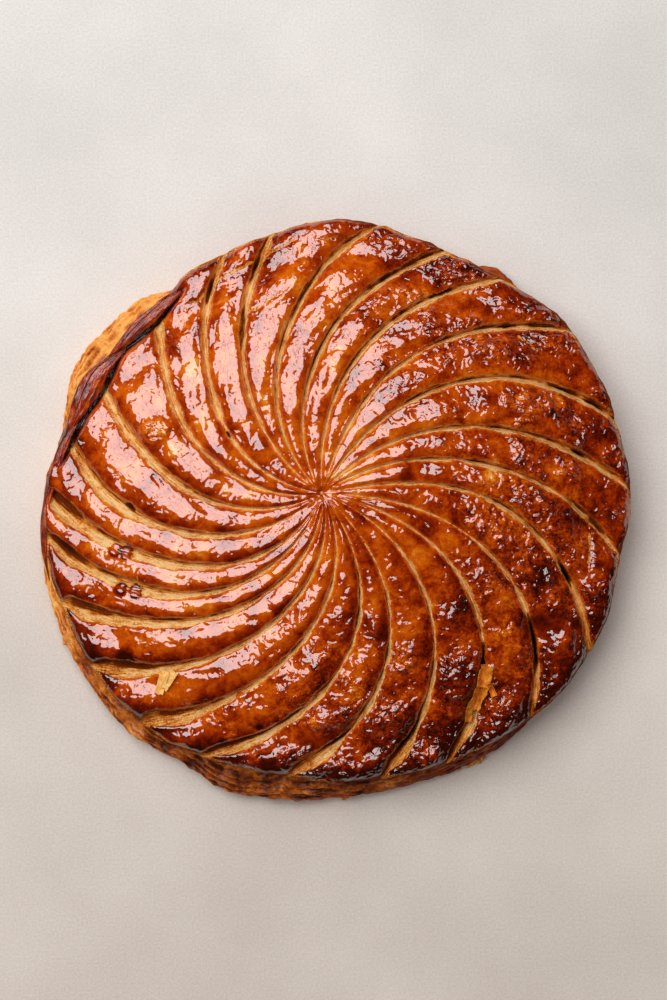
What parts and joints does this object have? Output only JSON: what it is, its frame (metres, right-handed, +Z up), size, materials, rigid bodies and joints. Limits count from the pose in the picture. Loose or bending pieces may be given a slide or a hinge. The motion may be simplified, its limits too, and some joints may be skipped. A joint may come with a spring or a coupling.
{
  "type": "galette des rois",
  "caption": "Round puff pastry galette with a domed, glossy lid scored in a swirl of curved cuts, and a flaky side.",
  "frame": {"origin": "on the floor, under the middle of the galette's outline", "axes": "+Z up through the crown of the dome, X and Y across it; the lid's curled lip faces -X +Y"},
  "size_m": [0.283, 0.2794, 0.042],
  "materials": {
    "crust": "gloss",
    "crumb": "matte"
  },
  "bodies": {
    "root": {"galette": "crust"}
  },
  "joints": []
}
